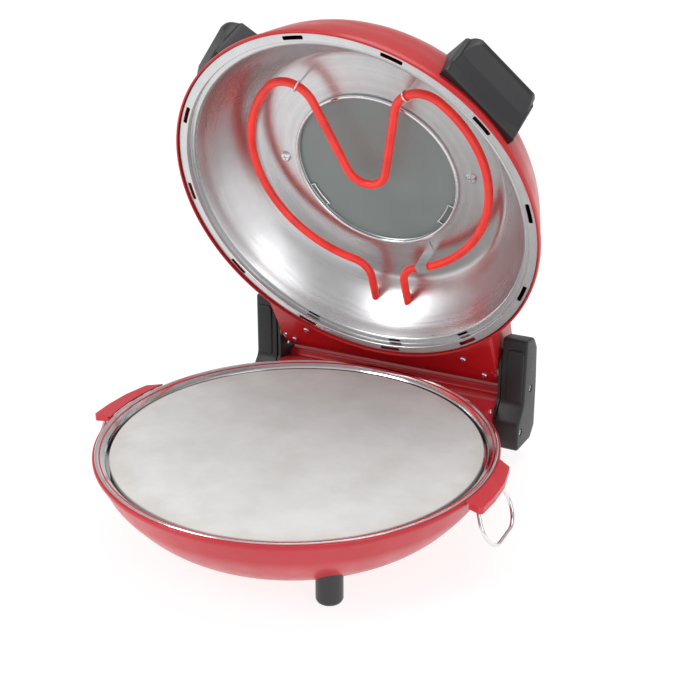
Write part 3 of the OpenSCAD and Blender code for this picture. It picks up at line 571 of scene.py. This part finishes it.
pan = rp([(160.1, -14.4, 0), (160.3, -4.7, 0.6), (165.5, 0.05, 0.6), (168, 0.05, 0), (168.0, 0.75, 0.3), (167.4, 1.25, 0.4), (166.2, 1.05, 0.6), (160.3, -3.1, 0.8),
          (159.3, -4.3, 0.6), (159.1, -13.5, 0), (149.5, -13.5, 1), (147.8, -14.8, 1), (145, -22, 3), (138.5, -33, 8), (128, -42, 6), (120, -44.5, 6), (0, -44.5, 0),
          (0, -45.5, 0), (120, -45.5, 6), (128.8, -42.8, 6), (139.4, -33.6, 8), (146, -22.3, 3), (148.6, -15.3, 1), (149.6, -14.5, 0)], 5)
piece("pan_dish", lathe(pan, 224), BASE, "base", RING, ["steel_pan"])

stone = rp([(0, -13.5, 0), (156.5, -13.5, 0.8), (156.5, -3.5, 1.3), (0, -3.5, 0)], 5)
piece("stone_disc", lathe(stone, 224), BASE, "base", STONE, ["baking_stone"])

# ------------------------------------------------------------------ heating tube
HALF = [(19, -73.3), (0, 69.1), (25, 115.3), (0, 1), (100, 48), (0, 1), (108, 75), (0, 1), (20, -75), (0, 53)]
FULL = HALF[:0:-1] + [(19, -146.6)] + HALF[1:]
def walk(steps, x, y, h, fine=3.0):
    pts = [(x, y)]
    for r, turn in steps:
        if r == 0:
            k = max(1, round(turn / 6))
            pts += [(x + turn * i / k * math.cos(rad(h)), y + turn * i / k * math.sin(rad(h))) for i in range(1, k + 1)]
            x, y = pts[-1]
        else:
            g = r if turn > 0 else -r
            cx, cy = x - g * math.sin(rad(h)), y + g * math.cos(rad(h))
            k = max(3, round(abs(turn) / 360 * 2 * math.pi * r / fine))
            for i in range(1, k + 1):
                a = h + turn * i / k
                pts.append((cx + g * math.sin(rad(a)), cy - g * math.cos(rad(a))))
            h += turn
            x, y = pts[-1]
    return pts, h
half_pts, _ = walk(HALF, 0, 2, 0)
END_X, END_Y = half_pts[-1]
full_pts, _ = walk(FULL, -END_X, END_Y, -90)
for nm, z, M, body, mat, slot, node in (("upper_heating_tube", 41, LID, "lid", GLOW, "heater_glow", "upper_element"),
                                        ("lower_heating_tube", -32, BASE, "base", DARK, "heater_dark", "lower_element")):
    piece(nm, sweep([(x, y, z) for x, y in full_pts], 3.75, 24), M, body, mat, [node], deg=50)

# ------------------------------------------------------------------ lid shell and liner
DOME = [(165.4, 8), (164.5, 14), (162, 24), (158.5, 34), (154, 46), (148, 57), (140, 68), (131, 76.5), (119, 83.5), (105, 87), (86, 88)]
dome = curve(DOME, 6)
lip = rp([(167.4, 0.05, 0), (168.9, 0.05, 0.7), (169, 4.6, 1.0), (167.3, 6.1, 1.0), (165.7, 6.5, 0.5), (165.4, 8, 0)], 4, closed=False)
inside = offset(curve(DOME[:-1] + [(90, 88)], 6), 1.0)
shell = lip[:-1] + dome + [(81.6, 88), (81.6, 87.0), (86, 87.0)] + inside[:-4][::-1] + [(164.4, 8), (164.4, 4.7), (167.35, 4.7)]
piece("lid_dome", lathe(shell, 240), LID, "lid", RED_LID, ["lid_shell"])

liner = [(154.9, 8.0), (154.5, 7.9), (154.1, 7.5), (153.8, 7.25), (153.5, 7.5), (153.1, 8.1)]
liner += curve([(153, 8.2), (151.6, 11.5), (148, 20), (141.5, 32), (132.5, 45), (125, 53.2), (119, 57.2), (112, 58)], 7)[1:]
liner += [(104, 58.0), (96, 58.0), (88, 58), (80, 58), (75.9, 58.1), (75.5, 58.6)]
SLOTS_OUT = [-151, -96.5, -67, -37, -7, 24, 55.5, 86.5, 117, 147, 178.5]
SLOTS_IN = [57, 85, 116]
def slot_sheet(prof, base_n, cuts):
    """a turned sheet with slots: cuts are (angle, half angle, r0, r1, z0, z1)"""
    angs = {round(360 * i / base_n, 4) for i in range(base_n)}
    for a, h, *_ in cuts:
        near = {x for x in angs if abs((x - a + 180) % 360 - 180) < h + 0.35}
        angs -= near
        for d in (-h - 0.3, -h, -h + 0.16, -h * 0.5, 0, h * 0.5, h - 0.16, h, h + 0.3):
            angs.add(round((a + d) % 360, 4))
    angs = sorted(angs)
    for a, h, r0, r1, z0, z1 in cuts[:1] + cuts[-1:]:
        pass
    v, f = [], []
    n = len(angs)
    for r, z in prof:
        v += [(r * math.cos(rad(a)), r * math.sin(rad(a)), z) for a in angs]
    for i in range(len(prof) - 1):
        rm, zm = (prof[i][0] + prof[i + 1][0]) / 2, (prof[i][1] + prof[i + 1][1]) / 2
        for j in range(n):
            k = (j + 1) % n
            am = (angs[j] + (angs[k] if k else angs[0] + 360)) / 2
            gone = False
            for a, h, r0, r1, z0, z1 in cuts:
                if r0 < rm < r1 and z0 < zm < z1 and abs((am - a + 180) % 360 - 180) < h:
                    end = abs((am - a + 180) % 360 - 180) > h - 0.16
                    tip = rm < r0 + 0.45 or rm > r1 - 0.45
                    gone = gone or not (end and tip)
            if not gone:
                f.append([i * n + j, i * n + k, (i + 1) * n + k, (i + 1) * n + j])
    return v, f
flange = [(166.3, 2.4), (165.4, 2.4), (164.4, 2.4), (163.95, 2.4), (162.65, 2.4), (161.35, 2.4), (160.9, 2.4), (160.2, 2.4)]
step = [(159.5, 2.4), (159.2, 2.5), (158.95, 2.85), (158.8, 3.4), (158.8, 5.5), (158.8, 7.2), (158.65, 7.75), (158.3, 7.98)]
shelf = [(157.9, 8.0), (157.7, 8), (157.25, 8), (156.45, 8), (155.65, 8), (155.2, 8)]
prof = flange + step + shelf + liner
cuts = [(a, math.degrees(9.2 / 162.6), 160.8, 164.5, 1.4, 3.4) for a in SLOTS_OUT] + [(a, math.degrees(6 / 156.5), 155.1, 157.8, 7, 9) for a in SLOTS_IN]
piece("lid_inner_liner", slot_sheet(prof, 240, cuts), LID, "lid", LINER, ["lid_liner"],
      mods=[("SOLIDIFY", {"thickness": 0.00085, "offset": 1.0, "use_even_offset": True})])

# ------------------------------------------------------------------ hinge covers
ARM = [(170.7, 52, 3), (191.5, 48.5, 7), (200.5, 37, 6), (204, 0, 0), (205.5, -45, 6), (195, -55.5, 5), (158.6, -53.5, 4), (156.8, -44.5, 6), (157.3, -26, 10), (169.7, -11, 12)]
arm = rp(ARM, 7)
body = prism(arm, 118.4, 141.4, 0.8, 2.4, 5)
panel = prism(rp([(123.5, -10, 3), (139.3, -10, 3), (139.3, 41.2, 4), (123.5, 41.2, 4)], 5), 168.75, 172.5, 1.1, 0.0, 4, axes="xzy")
COVER_SCREWS = [(187.3, -0.8), (165.0, -36.3)]
cover = body
for y, z in COVER_SCREWS:
    cover = carve(cover, moved(lathe([(0, -3.2), (3.7, -3.2), (3.7, 0.4), (4.0, 0.4), (0, 0.4)][:3] + [(0, 0.4)], 40), T(141.4, y, z) @ Matrix.Rotation(rad(90), 4, "Y")))
cover = join(cover, panel)
piece("hinge_cover_right_shell", cover, BASE, "base", BLACK, ["hinge_cover_right"])
piece("hinge_cover_left_shell", mirrored(cover), BASE, "base", BLACK, ["hinge_cover_left"])

# ------------------------------------------------------------------ lid handles
SEC = rp([(157, 12.2, 0), (168.3, 12.2, 1.5), (167.2, 24, 4), (170, 36, 8), (176.4, 47, 5), (179.4, 51.5, 2), (178.4, 55.9, 2), (170, 58.4, 4), (137, 59.8, 0), (144, 47, 0), (150, 36, 0), (155, 24, 0)], 5)
PLAN = rp([(120, -37.8, 0), (167.6, -37.8, 3), (168.4, -34.9, 2), (179.9, -34.9, 13), (179.9, 34.9, 13), (168.4, 34.9, 2), (167.6, 37.8, 3), (120, 37.8, 0)], 7)
h = carve(prism(SEC, -50, 50, axes="xzy"), prism(PLAN, 0, 75, axes="xyz"), "INTERSECT")
ROUND = [("BEVEL", {"width": 0.0016, "segments": 3, "limit_method": "ANGLE", "angle_limit": rad(38)})]
piece("handle_right_grip", moved(h, Matrix.Rotation(rad(-41), 4, "Z")), LID, "lid", BLACK, ["lid_handle_right"], deg=40, mods=ROUND)
piece("handle_left_grip", mirrored(moved(h, Matrix.Rotation(rad(-41), 4, "Z"))), LID, "lid", BLACK, ["lid_handle_left"], deg=40, mods=ROUND)

# ------------------------------------------------------------------ hinge housing on the lid
def low(y):
    pts = [(60, -2), (80, 0.6), (100, -1.6), (131.5, 3.4), (190, 10.9)]
    for a, b in zip(pts, pts[1:]):
        if y <= b[0]:
            return a[1] + (b[1] - a[1]) * (y - a[0]) / (b[0] - a[0])
    return 10.9
DOME_R = [(165.7, 2)] + DOME
def front(x, z, gap=-3.0):
    R = between([(b, a) for b, a in DOME_R], z) + gap
    return math.sqrt(max(R * R - x * x, 0))
def housing(lift, x, d, y_end=200.0, top=55.0):
    """section of the housing at x: rounded back, front follows the dome; d draws the outline in"""
    back = rp([(190 - lift * 0.2, 10.9 + lift, 6 - min(lift, 2)), (200, 18.0, 6), (200, top, 7), (150, top, 0)], 5, closed=False)
    back = [p for p in back if p[0] > 151]
    zs = [top - (top - 4.6 - lift) * i / 12 for i in range(13)]
    ring = [(front(x, z), z) for z in zs]
    yb = max(ring[-1][0], 90)
    bottom = [(yb + (188 - yb) * i / 10, low(yb + (188 - yb) * i / 10) + lift) for i in range(0, 10)]
    tops = [(198 - (198 - ring[0][0]) * i / 8, top) for i in range(1, 8)]
    out = [p for p in bottom] + back + [(ring[0][0] + (190 - ring[0][0]) * (1 - i / 6), top) for i in range(1, 6)] + ring[:-1]
    if d > 0:
        c = (160, 32)
        ins = inset(out, d)
        out = [(q[0] if p[0] > 150 else p[0], q[1]) for p, q in zip(out, ins)]
    return [(x, y, z) for y, z in out]
HX, R = 114.0, 4.0
xs = [(-HX + R * (1 - math.sin(rad(a))), R * (1 - math.cos(rad(a))), 0) for a in (90, 70, 50, 30, 12, 0)]
xs = xs[:-1]
side = [(-HX + R * (1 - math.sin(rad(a))), R * (1 - math.cos(rad(a))), 0.0) for a in (90, 72, 54, 36, 18, 0)]
mid = [(x, 0.0, 0.0) for x in range(-105, 106, 7)]
cols = side + mid + [(-x, d, l) for x, d, l in side[::-1]]
piece("hinge_housing_shell", loft([housing(1.7, x, d) for x, d, l in cols]), LID, "lid", RED_LID, ["hinge_housing"])
def plate_section(x):
    yf = max(front(x, 5.0), math.sqrt(max(170.5 ** 2 - x * x, 0)), 95)
    ys = [yf + (186.6 - yf) * i / 8 for i in range(9)]
    return [(x, y, low(y) + 0.05) for y in ys] + [(x, 187.4, low(187.4) + 0.45), (x, 187.4, low(187.4) + 1.3)] + [(x, y, low(y) + 1.55) for y in ys[::-1]]
pl = [(-113.2, 1)] + [(x, 0) for x in (-112.8, -108, -100, -90, -75, -60, -45, -30, -15, 0, 15, 30, 45, 60, 75, 90, 100, 108, 112.8)] + [(113.2, 1)]
rows = []
for x, e in pl:
    s = plate_section(x)
    if e:
        s = [(a, b, low(b) + 0.4 if c < low(b) + 0.7 else c) for a, b, c in s]
    rows.append(s)
piece("housing_bottom", loft(rows), LID, "lid", RED_LID, ["housing_bottom_plate"])

# ------------------------------------------------------------------ rear housing and deck of the base
BOWL_R = [(168.6, -3), (168.4, -4.4)] + BOWL
BACK_Y = 199.4
def rear_section(x, d):
    zs = [-16.4 - 36.6 * i / 14 for i in range(15)]
    fr = []
    for z in zs:
        R_ = between(BOWL_R, z) + 0.45
        fr.append((math.sqrt(max(R_ * R_ - x * x, 60 ** 2)), z))
    lows = [(fr[-1][0] + (BACK_Y - fr[-1][0]) * i / 8, -53) for i in range(1, 9)]
    out = lows[::-1] + fr[::-1] + [(fr[0][0] + (BACK_Y - fr[0][0]) * i / 6, -16.4) for i in range(1, 7)]
    if d > 0:
        ins = inset(out, d)
        out = [(p[0], q[1]) for p, q in zip(out, ins)]
    return [(x, y, z) for y, z in out]
R = 3.0
side = [(-115 + R * (1 - math.sin(rad(a))), R * (1 - math.cos(rad(a)))) for a in (90, 72, 54, 36, 18, 0)]
mid = [(x, 0.0) for x in range(-108, 109, 6)]
cols = side + mid + [(-x, d) for x, d in side[::-1]]
piece("rear_box", loft([rear_section(x, d) for x, d in cols]), BASE, "base", RED_BASE_PAINTED_LIGHT, ["rear_housing"])
DECK = rp([(60, -11.9, 0), (136.6, -11.9, 30), (169, -11.3, 12), (190.2, -14.9, 2.0), (192.2, -8.1, 1.4), (200.9, -8.1, 0)], 6, closed=False)
def deck_z(y):
    for a, b in zip(DECK, DECK[1:]):
        if a[0] <= y <= b[0] and b[0] > a[0]:
            return a[1] + (b[1] - a[1]) * (y - a[0]) / (b[0] - a[0])
    return -8.1
LIP_Y = [188.6, 189.2, 189.7, 190.1, 190.5, 190.9, 191.3, 191.7, 192.1, 192.5, 193.0, 193.6, 195, 197, BACK_Y]
def deck_row(x, drop):
    y0 = math.sqrt(165.9 ** 2 - x * x)
    ys = [y0 + (187.8 - y0) * (i / 30) for i in range(31)] + LIP_Y
    top = [(x, y, deck_z(y) - drop) for y in ys]
    top += [(x, 200.7, -8.25 - drop), (x, 200.85, -8.8 - drop)]
    bot = [(x, 200.85, -9.2 - drop), (x, 199.5, -9.25 - drop)] + [(x, y, -16.35) for y in ys[::-1]]
    return top + bot
R = 1.8
rows = [deck_row(-115 + R * (1 - math.sin(rad(a))), R * (1 - math.cos(rad(a)))) for a in (90, 72, 54, 36, 18, 0)]
k = len(rows)
rows += [deck_row(x, 0) for x in range(-110, 111, 5)]
rows += [[(-a, b, c) for a, b, c in r] for r in rows[:k][::-1]]
piece("rear_deck_cover", loft(rows), BASE, "base", RED_BASE_PAINTED_LIGHT, ["rear_deck"], deg=26)
NODES["rear_back_plate"].data.materials[0] = RED_BASE_PAINTED_LIGHT

# ------------------------------------------------------------------ knob, dial marks
def knob():
    prof = [(0, 0), (17.4, 0), (18.3, 0.6), (18.3, 3.2), (17.4, 4.4), (16.0, 5.2), (15.4, 6.2), (15.0, 12.4), (14.4, 14.0), (13.2, 14.8), (0, 15.0)]
    n = 144
    v, f, ring = [], [], []
    for r, z in prof:
        if r < 1e-6:
            ring.append([len(v)] * n)
            v.append((0, 0, z))
            continue
        ring.append(list(range(len(v), len(v) + n)))
        for j in range(n):
            a = 2 * math.pi * j / n
            k = 0.45 if 5.5 < z < 13 else 0.0
            rr = r - k * max(0, math.cos(24 * a)) ** 2
            v.append((rr * math.cos(a), rr * math.sin(a), z))
    for i in range(len(prof) - 1):
        a, b = ring[i], ring[i + 1]
        for j in range(n):
            q = [a[j], a[(j + 1) % n], b[(j + 1) % n], b[j]]
            q = [x for k, x in enumerate(q) if x not in q[:k]]
            if len(q) > 2:
                f.append(q)
    return v, f
KNOB = LID @ T(0, 174, 56.2)
bar = prism(rp([(-1.5, -17.2, 1.2), (1.5, -17.2, 1.2), (1.9, 13.4, 1.6), (-1.9, 13.4, 1.6)], 4), 3.0, 16.0, 0.0, 0.6, 3, axes="xyz")
piece("knob_grip", join(knob(), bar), KNOB, "knob", BLACK, ["thermostat_knob"])
piece("knob_pointer", prism([(-0.45, -15.8), (0.45, -15.8), (0.45, -5.5), (-0.45, -5.5)], 15.7, 16.0, 0, 0.1, 2, axes="xyz"), KNOB, "knob", PRINT_W)
marks = []
for i in range(31):
    a = rad(-90 - 270 * i / 30)
    r0, w = (19.4, 0.42) if i % 6 == 0 else (20.2, 0.2)
    m = prism([(r0, -w), (21.6, -w), (21.6, w), (r0, w)], 55.78, 55.86, 0, 0, 1, axes="xyz")
    marks.append(moved(m, T(0, 174, 0) @ Matrix.Rotation(a, 4, "Z")))
piece("dial_marks", join(*marks), LID, "lid", PRINT)
def digits():
    out = []
    for i in range(6):
        c = bpy.data.curves.new("digit", "FONT")
        c.body, c.size, c.align_x, c.align_y, c.extrude = str(i), 4.4, "CENTER", "CENTER", 0.04
        o = bpy.data.objects.new("digit", c)
        bpy.context.scene.collection.objects.link(o)
        me = bpy.data.meshes.new_from_object(o.evaluated_get(bpy.context.evaluated_depsgraph_get()))
        bpy.data.objects.remove(o)
        a = rad(-90 - 54 * i)
        M = T(28.2 * math.cos(a), 174 + 27.6 * math.sin(a), 55.05) @ Matrix.Rotation(math.pi, 4, "Z")
        out.append(([tuple(M @ v.co) for v in me.vertices], [list(p.vertices) for p in me.polygons]))
    return join(*out)
piece("dial_digits", digits(), LID, "lid", PRINT_W)

# ------------------------------------------------------------------ stage and light
def plane(name, size, z, mat):
    me = bpy.data.meshes.new(name)
    s = size / 2
    me.from_pydata([(-s, -s, z), (s, -s, z), (s, s, z), (-s, s, z)], [], [(0, 1, 2, 3)])
    me.materials.append(mat)
    o = bpy.data.objects.new(name, me)
    bpy.context.scene.collection.objects.link(o)
    return o
floor = Mat("floor", Roughness=0.6, Specular_IOR_Level=0.2, Emission_Strength=0.86, Emission_Color=(1.0, 1.0, 1.0))
floor.link("Base Color", mixc(floor.t, remap(floor.t, noise(floor.t, floor.vec, 3.0, 2.0), 0.3, 0.7, 0, 1), (0.22, 0.22, 0.22), (0.215, 0.215, 0.217)))
plane("floor", 60, 0.0, floor.m)

def area(name, loc, aim, size, power, col=(1, 1, 1), size_y=None):
    l = bpy.data.lights.new(name, "AREA")
    l.shape = "RECTANGLE"
    l.size, l.size_y = size, size_y or size
    l.energy, l.color = power, col
    o = bpy.data.objects.new(name, l)
    o.location = loc
    o.rotation_euler = (Vector(aim) - Vector(loc)).to_track_quat("-Z", "Y").to_euler()
    bpy.context.scene.collection.objects.link(o)
    return o
area("key", (-1.3, -1.5, 1.9), (0, 0, 0.15), 1.0, 22)
area("fill", (1.8, -0.9, 1.1), (0, 0, 0.15), 0.9, 9, size_y=1.4)
area("top", (0.1, 0.5, 2.2), (0, 0, 0.1), 1.4, 16)

world = bpy.data.worlds.new("world")
bpy.context.scene.world = world
world.use_nodes = True
wt = world.node_tree
wt.nodes.clear()
wc = nd(wt, "ShaderNodeTexCoord").outputs["Generated"]
wz = nd(wt, "ShaderNodeSeparateXYZ", {0: wc}).outputs[2]
sky = ramp(wt, remap(wt, wz, -0.1, 1.0, 0, 1), [(0.0, 0.95), (0.12, 1.0), (0.45, 0.62), (1.0, 0.85)])
bg = nd(wt, "ShaderNodeBackground", {"Color": sky, "Strength": 0.70})
wo = nd(wt, "ShaderNodeOutputWorld", {0: bg.outputs[0]})

sc = bpy.context.scene
sc.view_settings.view_transform = "Standard"
sc.view_settings.look = "None"
sc.view_settings.exposure = 0.0
sc.view_settings.gamma = 1.0
try:
    sc.cycles.max_bounces = 10
    sc.cycles.transmission_bounces = 10
    sc.cycles.caustics_reflective = False
    sc.cycles.caustics_refractive = False
    sc.cycles.sample_clamp_indirect = 6.0
except AttributeError:
    pass
